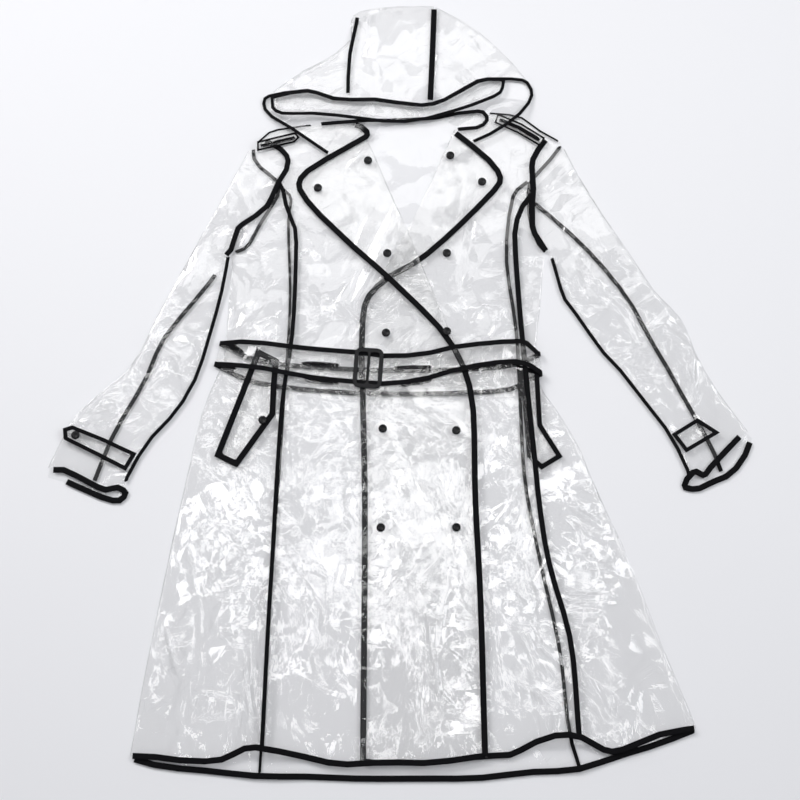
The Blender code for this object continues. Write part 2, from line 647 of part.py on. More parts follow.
def block(name, width, height, thick, corner, collection, x=0.0):
    """A flat block with rounded corners, centred on the origin but for x."""
    bpy.ops.mesh.primitive_cube_add(size=TO_METRES, location=(x * TO_METRES, 0, 0))
    made = moved(bpy.context.object, name, collection)
    for vertex in made.data.vertices:
        vertex.co = vertex.co.x * width, vertex.co.y * height, vertex.co.z * thick
    for edge in made.data.edges:
        a, b = (made.data.vertices[i].co for i in edge.vertices)
        if abs(a.z - b.z) > 0:
            bevel_weight(made).data[edge.index].value = 1.0
    rounded = made.modifiers.new("corners", "BEVEL")
    rounded.limit_method = "WEIGHT"
    rounded.width = corner * TO_METRES
    rounded.segments = 3
    return made


def buckle():
    """The slide: a rounded frame with a middle bar, lying on the belt."""
    width, height, bar, middle = (BUCKLE[key] for key in ("width", "height", "bar", "middle_bar"))
    frame = block("buckle", width, height, BUCKLE["thick"], BUCKLE["corner"], "raincoat")
    window = (width - 2 * bar - middle) / 2
    for name, side in (("buckle_window_1", -1), ("buckle_window_2", 1)):
        cutter = block(name, window, height - 2 * bar, 4 * BUCKLE["thick"], 3.5, "cutters",
                       side * (window + middle) / 2)
        cutter.hide_render = True
        cutter.display_type = "WIRE"
        cut = frame.modifiers.new(name, "BOOLEAN")
        cut.operation = "DIFFERENCE"
        cut.solver = "EXACT"
        cut.object = cutter
        cutter.parent = frame
    soft = frame.modifiers.new("rounded", "BEVEL")
    soft.width = 0.7 * TO_METRES
    soft.segments = 1
    soft.angle_limit = math.radians(40)
    x, y = BUCKLE["x"], BUCKLE["y"]
    z = top_within(x, y, 0.65 * width, 0.6 * height) + SEAM_GAP + BUCKLE["thick"] / 2
    frame.location = (np.array([x, y, z]) - CENTRE) * TO_METRES
    frame.rotation_euler.z = math.radians(BUCKLE["tilt"])
    frame.data.materials.append(material("buckle_black", BLACK, 0.2))


def clear_scene():
    for made in list(bpy.data.objects):
        bpy.data.objects.remove(made)
    for made in list(bpy.data.meshes):
        bpy.data.meshes.remove(made)
    for name in ("raincoat", "cutters"):
        bpy.context.scene.collection.children.link(bpy.data.collections.new(name))


clear_scene()

side_right, side_left = line(SIDE_RIGHT), line(SIDE_LEFT)
hem_front, hem_back = line(HEM_FRONT), line(HEM_BACK)
princess_front_right, princess_front_left = line(PRINCESS_FRONT_RIGHT), line(PRINCESS_FRONT_LEFT)
princess_back_right, princess_back_left = line(PRINCESS_BACK_RIGHT), line(PRINCESS_BACK_LEFT)
edge_right, edge_left = line(EDGE_RIGHT), line(EDGE_LEFT)
roll_right, roll_left = line(ROLL_RIGHT), line(ROLL_LEFT)
armhole_front_right, armhole_front_left = line(ARMHOLE_FRONT_RIGHT), line(ARMHOLE_FRONT_LEFT)
armhole_back_right, armhole_back_left = line(ARMHOLE_BACK_RIGHT), line(ARMHOLE_BACK_LEFT)
back_top, front_top_right, front_top_left = line(BACK_TOP), line(FRONT_TOP_RIGHT), line(FRONT_TOP_LEFT)
fold_right, fold_left = line(SLEEVE_FOLD_RIGHT), line(SLEEVE_FOLD_LEFT)
inner_right, inner_left = line(SLEEVE_INNER_RIGHT), line(SLEEVE_INNER_LEFT)
middle_right, middle_left = line(SLEEVE_MIDDLE_RIGHT), line(SLEEVE_MIDDLE_LEFT)
hood_fold_right, hood_fold_left, crown = line(HOOD_FOLD_RIGHT), line(HOOD_FOLD_LEFT), line(CROWN)
seam_back_right, seam_back_left = line(HOOD_SEAM_BACK_RIGHT), line(HOOD_SEAM_BACK_LEFT)
seam_right, seam_left = line(HOOD_SEAM_RIGHT), line(HOOD_SEAM_LEFT)
visor_seam, visor_edge = line(VISOR_SEAM), line(VISOR_EDGE)
face_right, face_left = line(FACE_RIGHT), line(FACE_LEFT)
gorge_right, gorge_left = line(GORGE_RIGHT), line(GORGE_LEFT)

# Back of the belt, on the floor under the coat
belt_turn_right = line([BELT_BACK_BOTTOM[0], BELT_BACK_TOP[0]], 20)
belt_turn_left = line([BELT_BACK_BOTTOM[-1], BELT_BACK_TOP[-1]], 20)
belt_lower = lay("belt_lower", outline([line(BELT_BACK_BOTTOM), belt_turn_left,
                                        back(line(BELT_BACK_TOP)), back(belt_turn_right)], (1, 3)),
                 SMALL_SPACING, rim=TAPE_WIDTH)

# Back layer: the back panel, the backs of the side panels and the lower layer of the sleeves
BACK_FILMS = ("back", "side", "sleeve", "under")
back_panel = lay("back_panel", outline([
    hem(hem_back), left_of(princess_back_left), left_of(armhole_back_left), back(right_of(back_top)),
    back(right_of(armhole_back_right)), back(right_of(princess_back_right))]), BACK_SPACING, BACK_FILMS)
side_right_lower = lay("side_right_lower", outline([
    hem(hem_back), left_of(princess_back_right), back(right_of(armhole_back_right)),
    back(side_right)], (3,)), BACK_SPACING, BACK_FILMS)
side_left_lower = lay("side_left_lower", outline([
    hem(hem_back), side_left, left_of(armhole_back_left), back(right_of(princess_back_left))],
    (1,)), BACK_SPACING, BACK_FILMS)
sleeve_right_lower = lay("sleeve_right_lower", outline([
    hem(line(CUFF_BACK_RIGHT)), left_of(middle_right), left_of(inner_right),
    left_of(armhole_back_right), back(fold_right)], (4,)), beside=BACK_FILMS)
sleeve_left_lower = lay("sleeve_left_lower", outline([
    hem(line(CUFF_BACK_LEFT)), fold_left, back(right_of(armhole_back_left)),
    back(right_of(middle_left))], (1,)), beside=BACK_FILMS)
under_right = lay("under_right", outline([
    hem(line(CUFF_BACK_RIGHT)), left_of(inner_right), back(right_of(middle_right))]),
    beside=BACK_FILMS)
under_left = lay("under_left", outline([
    hem(line(CUFF_BACK_LEFT)), left_of(middle_left), back(right_of(armhole_back_left)),
    back(right_of(inner_left))]), beside=BACK_FILMS)
film("back_panel", back_panel)
film("under_sleeve_right", under_right)
film("under_sleeve_left", under_left)

tape("tape_princess_back_right", princess_back_right, ("tape",), 0, 2)
tape("tape_princess_back_left", princess_back_left, ("tape",), 0, 2)
tape("tape_sleeve_middle_right", middle_right, ("tape",), 6, 30)
tape("tape_sleeve_middle_left", middle_left, ("tape",), 6, 2)
tape("tape_hem_back", hem_back, (), 6, 6)
tape("tape_armhole_back_right", armhole_back_right, (), 6, 2)
tape("tape_armhole_back_left", armhole_back_left, (), 6, 2)
BACK_GROUND = PILE.ground()

# Front layer on the wearer's left, whose front lies underneath
LEFT_FILMS = ("side_left_upper", "sleeve_left_upper")
side_left_upper = lay("side_left_upper", outline([
    hem(hem_front), side_left, left_of(armhole_front_left), back(right_of(princess_front_left))],
    (1,)), beside=LEFT_FILMS, folds_over=BACK_GROUND)
sleeve_left_upper = lay("sleeve_left_upper", outline([
    hem(line(CUFF_FRONT_LEFT)), fold_left, back(right_of(armhole_front_left)),
    back(right_of(inner_left))], (1,)), beside=LEFT_FILMS, folds_over=BACK_GROUND)
film("side_panel_left", turned(side_left_lower, side_left_upper, side_left, -1))
film("sleeve_left", turned(sleeve_left_lower, sleeve_left_upper, fold_left, -1))
film("pocket_flap_left", lay("flap_left", np.array(FLAP_LEFT, float), SMALL_SPACING, rim=TAPE_WIDTH))
front_left = lay("front_left", outline([
    hem(hem_front), left_of(princess_front_left), left_of(armhole_front_left),
    back(right_of(front_top_left)), back(roll_left), back(free_left(edge_left))], (4,)),
    beside=LEFT_FILMS, folds_over=BACK_GROUND)
tape("tape_princess_front_left", princess_front_left, (), 0, 2)
tape("tape_hem_left", between(hem_front, edge_left[0], side_left[0]), (), 0, 2)
tape("tape_armhole_front_left", armhole_front_left, (), 6, 2)
lapel_left = lay("lapel_left", outline([back(roll_left), free_right(edge_left)], (0,)), gap=TURN_GAP)
film("front_left", turned(front_left, lapel_left, roll_left, 1))
tape("tape_edge_left", edge_left)

# Front layer on the wearer's right, which overlaps
RIGHT_FILMS = ("side_right_upper", "sleeve_right_upper", "front_right")
side_right_upper = lay("side_right_upper", outline([
    hem(hem_front), left_of(princess_front_right), back(right_of(armhole_front_right)),
    back(side_right)], (3,)), beside=RIGHT_FILMS, folds_over=BACK_GROUND)
sleeve_right_upper = lay("sleeve_right_upper", outline([
    hem(line(CUFF_FRONT_RIGHT)), left_of(inner_right), left_of(armhole_front_right),
    back(fold_right)], (3,)), beside=RIGHT_FILMS, folds_over=BACK_GROUND)
front_right = lay("front_right", outline([
    hem(hem_front), free_right(edge_right), roll_right, back(right_of(front_top_right)),
    back(right_of(armhole_front_right)), back(right_of(princess_front_right))], (2,)),
    beside=RIGHT_FILMS, folds_over=BACK_GROUND)
film("side_panel_right", turned(side_right_lower, side_right_upper, side_right, 1))
film("sleeve_right", turned(sleeve_right_lower, sleeve_right_upper, fold_right, 1))
tape("tape_princess_front_right", princess_front_right, (), 0, 2)
tape("tape_hem_right", between(hem_front, side_right[0], edge_right[0]), (), 2, 0)
tape("tape_armhole_front_right", armhole_front_right, (), 6, 2)
lapel_right = lay("lapel_right", outline([roll_right, back(free_left(edge_right))], (0,)),
                  gap=TURN_GAP)
film("front_right", turned(front_right, lapel_right, roll_right, -1))
tape("tape_edge_right", line(EDGE_RIGHT + NOTCH_RIGHT))

# Seams and small pieces of the upper layers
tape("tape_shoulder_right", line(SHOULDER_RIGHT), ("tape_sleeve", "tape_cuff"), 3, 3)
tape("tape_shoulder_left", line(SHOULDER_LEFT), ("tape_sleeve", "tape_cuff"), 3, 3)
tape("tape_sleeve_inner_right", inner_right, ("tape_shoulder",), 24, 3)
tape("tape_sleeve_inner_left", inner_left, ("tape_shoulder",), 24, 3)
tape("tape_cuff_right", line(CUFF_TAPE_RIGHT), ("tape_shoulder",))
tape("tape_cuff_left", line(CUFF_TAPE_LEFT), ("tape_shoulder",))
film("pocket_flap_right", lay("flap_right", np.array(FLAP_RIGHT, float), SMALL_SPACING, rim=TAPE_WIDTH))
film("epaulette_right", lay("epaulette_right", np.array(EPAULETTE_RIGHT, float), SMALL_SPACING,
                            rim=TAPE_WIDTH))
film("epaulette_left", lay("epaulette_left", np.array(EPAULETTE_LEFT, float), SMALL_SPACING,
                           rim=TAPE_WIDTH))
film("cuff_strap_right", lay("cuff_strap_right", np.array(CUFF_STRAP_RIGHT, float), SMALL_SPACING,
                             rim=TAPE_WIDTH))
film("cuff_strap_left", lay("cuff_strap_left", np.array(CUFF_STRAP_LEFT, float), SMALL_SPACING,
                            rim=TAPE_WIDTH))

# Hood: the backs of its panels on the coat's neck, then their fronts and the visor
HOOD_LOWER = ("hood_centre_lower", "hood_side_right_lower", "hood_side_left_lower")
HOOD_UPPER = ("hood_centre_upper", "hood_side_right_upper", "hood_side_left_upper")
centre_lower = lay("hood_centre_lower", outline([
    left_of(back_top), left_of(seam_back_left), back(crown), back(right_of(seam_back_right))],
    (2,)), beside=HOOD_LOWER)
hood_right_lower = lay("hood_side_right_lower", outline([
    free_right(face_right), gorge_right, left_of(seam_back_right), back(hood_fold_right)], (3,)),
    beside=HOOD_LOWER)
hood_left_lower = lay("hood_side_left_lower", outline([
    gorge_left, free_right(face_left), hood_fold_left, back(right_of(seam_back_left))], (2,)),
    beside=HOOD_LOWER)
tape("tape_neck", line(NECK_TAPE))
HOOD_GROUND = PILE.ground()
centre_upper = lay("hood_centre_upper", outline([
    left_of(visor_seam), left_of(seam_left), back(crown), back(right_of(seam_right))], (2,)),
    beside=HOOD_UPPER, folds_over=HOOD_GROUND)
hood_right_upper = lay("hood_side_right_upper", outline([
    left_of(visor_seam), left_of(seam_right), back(hood_fold_right)], (2,)),
    beside=HOOD_UPPER, folds_over=HOOD_GROUND)
hood_left_upper = lay("hood_side_left_upper", outline([
    left_of(visor_seam), hood_fold_left, back(right_of(seam_left))], (1,)),
    beside=HOOD_UPPER, folds_over=HOOD_GROUND)
film("hood_centre", turned(centre_lower, centre_upper, crown, 1))
film("hood_side_right", turned(hood_right_lower, hood_right_upper, hood_fold_right, 1))
film("hood_side_left", turned(hood_left_lower, hood_left_upper, hood_fold_left, -1))
tape("tape_hood_seam_right", line(HOOD_SEAM_TAPE_RIGHT), ("tape_hood",), 8, 0)
tape("tape_hood_seam_left", seam_left, ("tape_hood",), 8, 3)
tape("tape_face", line(FACE_RIGHT[::-1] + VISOR_SEAM[1:-1] + FACE_LEFT[::-1]))
film("visor", lay("visor", outline([visor_edge, back(visor_seam)]), SMALL_SPACING, rim=TAPE_WIDTH))

# Front of the belt, which closes the loop
belt_upper = lay("belt_upper", outline([line(BELT_FRONT_BOTTOM), belt_turn_left,
                                        back(line(BELT_FRONT_TOP)), back(belt_turn_right)], (1, 3)),
                 SMALL_SPACING, rim=TAPE_WIDTH)
belt = turned(belt_lower, belt_upper, belt_turn_right, 1)
film("belt", turn(belt, belt_turn_left, -1))
buckle()
for name, x, y in SNAPS:
    snap(name, x, y)
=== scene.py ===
import math

import bpy
import numpy as np
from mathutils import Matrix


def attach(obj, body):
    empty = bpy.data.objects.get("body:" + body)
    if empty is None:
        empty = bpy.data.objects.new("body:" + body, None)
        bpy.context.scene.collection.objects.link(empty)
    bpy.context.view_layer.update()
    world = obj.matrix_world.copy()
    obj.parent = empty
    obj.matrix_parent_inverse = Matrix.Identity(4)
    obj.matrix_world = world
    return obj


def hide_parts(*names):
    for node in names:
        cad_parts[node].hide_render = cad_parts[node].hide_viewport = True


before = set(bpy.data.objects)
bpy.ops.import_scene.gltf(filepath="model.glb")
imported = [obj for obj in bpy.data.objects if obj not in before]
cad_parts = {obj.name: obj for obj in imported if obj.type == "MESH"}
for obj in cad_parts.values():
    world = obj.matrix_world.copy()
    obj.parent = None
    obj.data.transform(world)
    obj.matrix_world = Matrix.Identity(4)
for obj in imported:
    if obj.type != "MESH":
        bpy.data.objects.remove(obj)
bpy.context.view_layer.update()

# ---------------------------------------------------------------- Camera
# It looks down on the laid-out coat from beyond the hem, 12 degrees off the vertical, so that the
# hem is a little nearer than the hood.
AIM = (-0.0012, -0.0434, 0.0)
CAMERA_DISTANCE = 2.871
CAMERA_ELEVATION = math.radians(78)

camera_data = bpy.data.cameras.new("camera")
camera_data.lens = 76
camera_data.sensor_width = 36
camera = bpy.data.objects.new("camera", camera_data)
camera.location = (AIM[0], AIM[1] - CAMERA_DISTANCE * math.cos(CAMERA_ELEVATION),
                   CAMERA_DISTANCE * math.sin(CAMERA_ELEVATION))
camera.rotation_euler = (math.pi / 2 - CAMERA_ELEVATION, 0, 0)
bpy.context.scene.collection.objects.link(camera)
bpy.context.scene.camera = camera

# ---------------------------------------------------------------- Lights
# Two softboxes light the floor from the sides. A long softbox beyond the hood, two strips and seven
# small lamps hang at ceiling height. They are what the clear film mirrors.
CEILING = 2.1
CEILING_LAMPS = [
    # x, y, width, depth, power
    (-0.50, -0.08, 0.20, 0.20, 0.85),
    (-0.50, -0.48, 0.12, 0.06, 0.20),
    (0.05, 0.09, 0.26, 0.42, 0.85),
    (0.54, 0.00, 0.16, 0.24, 0.80),
    (0.36, -0.27, 0.10, 0.12, 0.28),
    (0.14, -0.40, 0.08, 0.07, 0.15),
    (-0.18, -0.22, 0.10, 0.20, 0.38),
]


def area_light(name, place, aim, size, power, colour=(1, 1, 1)):
    data = bpy.data.lights.new(name, "AREA")
    data.shape = "RECTANGLE"
    data.size, data.size_y = size
    data.energy = power
    data.color = colour
    light = bpy.data.objects.new(name, data)
    light.location = place
    way = [p - a for p, a in zip(place, aim)]
    length = math.sqrt(sum(c * c for c in way))
    light.rotation_euler = (math.acos(way[2] / length), 0, math.atan2(way[1], way[0]) + math.pi / 2)
    bpy.context.scene.collection.objects.link(light)


area_light("overhead_softbox", (0.0, 1.35, CEILING), (0, 0.5, 0), (2.4, 0.8), 10.5)
area_light("strip_light_middle", (0.0, 0.46, CEILING), (0, 0.1, 0), (1.9, 0.05), 1.3)
area_light("strip_light_front", (0.1, -0.16, CEILING), (0, -0.3, 0), (1.8, 0.05), 1.2)
for number, (x, y, wide, deep, power) in enumerate(CEILING_LAMPS):
    area_light(f"ceiling_lamp_{number}", (x, y, CEILING), (x, y, 0), (wide, deep), power)
area_light("key_softbox", (-2.3, 2.1, 2.5), (0, 0, 0), (1.3, 1.3), 60, (1.0, 0.985, 0.99))
area_light("fill_softbox", (2.6, 0.6, 2.8), (0, 0, 0), (1.4, 1.4), 29, (0.97, 0.98, 1.0))

world = bpy.data.worlds.new("world")
world.use_nodes = True
world.node_tree.nodes["Background"].inputs["Color"].default_value = (0.77, 0.775, 0.80, 1)
world.node_tree.nodes["Background"].inputs["Strength"].default_value = 0.51
bpy.context.scene.world = world
bpy.context.scene.view_settings.view_transform = "Standard"
bpy.context.scene.cycles.transparent_max_bounces = 48

# ---------------------------------------------------------------- Floor
# The coat lies on a plain sheet of pale matt paper. It is a little below the lowest film, so that
# the two never meet.
FLOOR_HALF = 6
FLOOR_TOP = -0.0015

floor_mesh = bpy.data.meshes.new("floor")
floor_mesh.from_pydata([(-FLOOR_HALF, -FLOOR_HALF, 0), (FLOOR_HALF, -FLOOR_HALF, 0),
                        (FLOOR_HALF, FLOOR_HALF, 0), (-FLOOR_HALF, FLOOR_HALF, 0)], [], [(0, 1, 2, 3)])
floor = bpy.data.objects.new("floor", floor_mesh)
floor.location.z = FLOOR_TOP
bpy.context.scene.collection.objects.link(floor)
paper = bpy.data.materials.new("pale_paper")
paper.use_nodes = True
paper_shader = paper.node_tree.nodes["Principled BSDF"]
paper_shader.inputs["Base Color"].default_value = (0.86, 0.865, 0.885, 1)
paper_shader.inputs["Roughness"].default_value = 0.9
paper_shader.inputs["Specular IOR Level"].default_value = 0.1
floor_mesh.materials.append(paper)

# ---------------------------------------------------------------- Back panel
# One panel of clear glossy film, 0.3 mm thick, cut from neck to hem between the two back seams.
# It rests on the floor and keeps the low ridges that folding has left in it.
MM = 0.001
FILM_EDGE = 0.010  # longest edge of the film's triangles
CREASE_EDGE = 0.005  # and of those on a crease
CREASE_PASSES = 2
CREASE_FROM = 0.2 * MM  # lower ones don't ask for finer triangles
CREASE_REACH = 4  # how many widths from its line a crease lifts the film
CREASE_ENDS = 0.04  # share of its length that rounds each end
BROAD_SHARE = 0.02  # of a wall's area: a smaller side is a rim or fold
SAME_SIDE = 0.5  # cosine of the steepest turn between two triangles of one side
EQUAL_SHARE = 0.004  # of both areas: a smaller difference makes them equal
RIM_SHARE = 0.4  # of the largest side's area: a smaller side of a strip is its rim
ON_FLOOR = 0.0016  # height under which film rests on the floor
FREE_OVER = 0.0032  # height over which it follows all creases
CREASES = []


def split_edges(points, faces, choose):
    """Splits the edges that choose picks, where it says. Points may carry more columns than their place."""
    ends = np.sort(np.concatenate([faces[:, [0, 1]], faces[:, [1, 2]], faces[:, [2, 0]]]), axis=1)
    edges, index = np.unique(ends[:, 0] * len(points) + ends[:, 1], return_inverse=True)
    index = index.reshape(3, -1).T
    first, last = points[edges // len(points)], points[edges % len(points)]
    picked, share = choose(first, last)
    middle = np.full(len(edges), -1)
    middle[picked] = len(points) + np.arange(picked.sum())
    points = np.vstack([points, (first + (last - first) * share[:, None])[picked]])
    m = middle[index]
    count = (m >= 0).sum(axis=1)
    made = [faces[count == 0]]
    for turn in range(3):
        a, b, c = (faces[:, (turn + k) % 3] for k in range(3))
        ab, bc, ca = (m[:, (turn + k) % 3] for k in range(3))
        one = (count == 1) & (ab >= 0)
        made += [np.stack(t, axis=1)[one] for t in ((a, ab, c), (ab, b, c))]
        two = (count == 2) & (ca < 0)
        made += [np.stack(t, axis=1)[two] for t in ((ab, b, bc), (a, ab, bc), (a, bc, c))]
    a, b, c = faces[:, 0], faces[:, 1], faces[:, 2]
    ab, bc, ca = m[:, 0], m[:, 1], m[:, 2]
    three = count == 3
    made += [np.stack(t, axis=1)[three] for t in ((a, ab, ca), (ab, b, bc), (ca, bc, c), (ab, bc, ca))]
    return points, np.vstack(made), picked.any()


def split_long(points, faces, longest):
    """Halves edges until none is longer than so many metres."""
    def too_long(first, last):
        length = np.linalg.norm((last - first)[:, :3], axis=1)
        return length > longest, np.full(len(length), 0.5)

    more = True
    while more:
        points, faces, more = split_edges(points, faces, too_long)
    return points, faces


def node_mesh(node):
    """A node's points and triangles, with the points that share a place made one."""
    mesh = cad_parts[node].data
    points = np.zeros(len(mesh.vertices) * 3)
    mesh.vertices.foreach_get("co", points)
    mesh.calc_loop_triangles()
    faces = np.zeros(len(mesh.loop_triangles) * 3, int)
    mesh.loop_triangles.foreach_get("vertices", faces)
    kept, index = np.unique(np.round(points.reshape(-1, 3) * 1e6), axis=0, return_inverse=True)
    faces = index.reshape(-1)[faces.reshape(-1, 3)]
    whole = (faces[:, 0] != faces[:, 1]) & (faces[:, 1] != faces[:, 2]) & (faces[:, 0] != faces[:, 2])
    return kept / 1e6, faces[whole]


def crosses(points, faces):
    """Each triangle's normal, as long as twice its area."""
    return np.cross(points[faces[:, 1]] - points[faces[:, 0]], points[faces[:, 2]] - points[faces[:, 0]])


def normals(points, faces):
    cross = crosses(points, faces)
    return cross / np.maximum(np.linalg.norm(cross, axis=1), 1e-15)[:, None]


def wall_sides(points, faces):
    """Numbers the smooth sides of a wall, with each side's area and which sides meet along an edge."""
    facing = normals(points, faces)
    area = np.linalg.norm(crosses(points, faces), axis=1) / 2
    ends = np.sort(np.concatenate([faces[:, [0, 1]], faces[:, [1, 2]], faces[:, [2, 0]]]), axis=1)
    owner = np.tile(np.arange(len(faces)), 3)
    order = np.lexsort((ends[:, 1], ends[:, 0]))
    same = np.flatnonzero((ends[order][1:] == ends[order][:-1]).all(axis=1))
    first, second = owner[order][same], owner[order][same + 1]
    soft = (facing[first] * facing[second]).sum(axis=1) > SAME_SIDE
    side, before = np.arange(len(faces)), None
    while before is None or (side != before).any():
        before = side.copy()
        np.minimum.at(side, first[soft], before[second[soft]])
        np.minimum.at(side, second[soft], before[first[soft]])
        side = side[side]
    _, side = np.unique(side, return_inverse=True)
    size = np.bincount(side, weights=area)
    meets = np.zeros((len(size), len(size)), bool)
    meets[side[first], side[second]] = meets[side[second], side[first]] = True
    return side, size, meets


def outer_side(points, faces):
    """Which triangles make the outside of a wall, round its folds too. Its narrow rims are left out."""
    side, size, meets = wall_sides(points, faces)
    broad = size > BROAD_SHARE * size.sum()
    group = np.arange(len(size))
    for n in np.flatnonzero(broad):
        for other in np.flatnonzero(broad & meets[n]):
            group[group == group[other]] = group[n]
    groups = np.unique(group[broad])
    if len(groups) > 2:
        outside = broad & (np.bincount(group[broad], minlength=len(size))[group] == 1)
    else:
        top = [points[faces[(group == g)[side] & broad[side]]][..., 2].max() for g in groups]
        area = [size[broad & (group == g)].sum() for g in groups]
        flat = abs(area[0] - area[1]) < EQUAL_SHARE * sum(area)
        outside = broad & (group == groups[np.argmax(top if flat else area)])
    inside = broad & ~outside
    folds = ~broad & (meets & outside).any(axis=1) & ~(meets & inside).any(axis=1)
    return (outside | folds)[side]


def without_spare(points, faces):
    """Leaves out the points that no triangle uses."""
    used, index = np.unique(faces, return_inverse=True)
    return points[used], index.reshape(faces.shape)


def crease_height(points, creases):
    """Height that creases add: each is a ridge that runs out at both its ends."""
    x, y = points[:, 0] / MM, points[:, 1] / MM
    total = np.zeros(len(points))
    for x0, y0, x1, y1, height, width in creases:
        reach = CREASE_REACH * width
        near = np.flatnonzero((x > min(x0, x1) - reach) & (x < max(x0, x1) + reach)
                              & (y > min(y0, y1) - reach) & (y < max(y0, y1) + reach))
        dx, dy = x1 - x0, y1 - y0
        from_x, from_y = x[near] - x0, y[near] - y0
        along = np.clip((from_x * dx + from_y * dy) / (dx**2 + dy**2), CREASE_ENDS, 1 - CREASE_ENDS)
        away = np.hypot(from_x - along * dx, from_y - along * dy) / width
        total[near] += height * MM * np.sin(math.pi * along) ** 0.6 / (1 + away**2) ** 2
    return total


def split_on_creases(points, faces, creases):
    """Halves the edges that creases lift, so that the ridges come out sharp."""
    def lifted(first, last):
        length = np.linalg.norm(last - first, axis=1)
        picked = (length > CREASE_EDGE) & (crease_height((first + last) / 2, creases) > CREASE_FROM)
        return picked, np.full(len(length), 0.5)

    for _ in range(CREASE_PASSES):
        points, faces, _ = split_edges(points, faces, lifted)
    return points, faces


def creased(points, own=()):
    """Lifts points over all creases so far. What rests on the floor is lifted by its own alone."""
    lift = np.clip((points[:, 2] - ON_FLOOR) / (FREE_OVER - ON_FLOOR), 0, 1)
    moved = points.copy()
    moved[:, 2] += lift * lift * (3 - 2 * lift) * crease_height(points, CREASES)
    if own:
        moved[:, 2] += crease_height(points, own)
    return moved


def piece(name, points, faces, materials, sharp=50, index=None):
    """A smooth mesh object that rides with the coat."""
    mesh = bpy.data.meshes.new(name)
    mesh.from_pydata(points.tolist(), [], faces.tolist())
    for material in materials:
        mesh.materials.append(material)
    if index is not None:
        mesh.polygons.foreach_set("material_index", index.astype(np.int32))
    mesh.shade_smooth()
    mesh.set_sharp_from_angle(angle=math.radians(sharp))
    made = bpy.data.objects.new(name, mesh)
    bpy.context.scene.collection.objects.link(made)
    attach(made, "root")
    return made


MIRRORED = 0.04  # share of the light that one surface mirrors when it is seen squarely
LARGE_FACETS, LARGE_SLOPE = 29, 0.17  # facets in a metre, and a factor for how steep they are
SMALL_FACETS, SMALL_SLOPE = 60, 0.09
FACET_SHAPE = 0.85  # width as a share of length
WAVES, WAVE_DEPTH = 8, 0.012
GRAIN, GRAIN_DEPTH = 120, 0.00012
STREAKS, STREAK_DEPTH = 75, 0.00013
STREAK_SHAPE = 0.06
BENDS, SWAY = 17, 0.014  # how often in a metre the facets' edges bend, and how far
CALM_AREAS = 5.5  # in a metre
CRUMPLED = (0.02, 0.42)  # share of the facets' height in calm film, and in crumpled film
IN_PATCH = 0.85  # and inside a patch
LAYER_X, LAYER_Y = 14.0, 9.0  # how far the pattern moves for each metre of height
# STEEP_SHADE is painted shade: it darkens the film's see-through colour where its facets are steep.
STEEP_FROM, STEEP_TO, STEEP_SHADE = 0.01, 0.22, 0.6  # how film darkens from level to steep


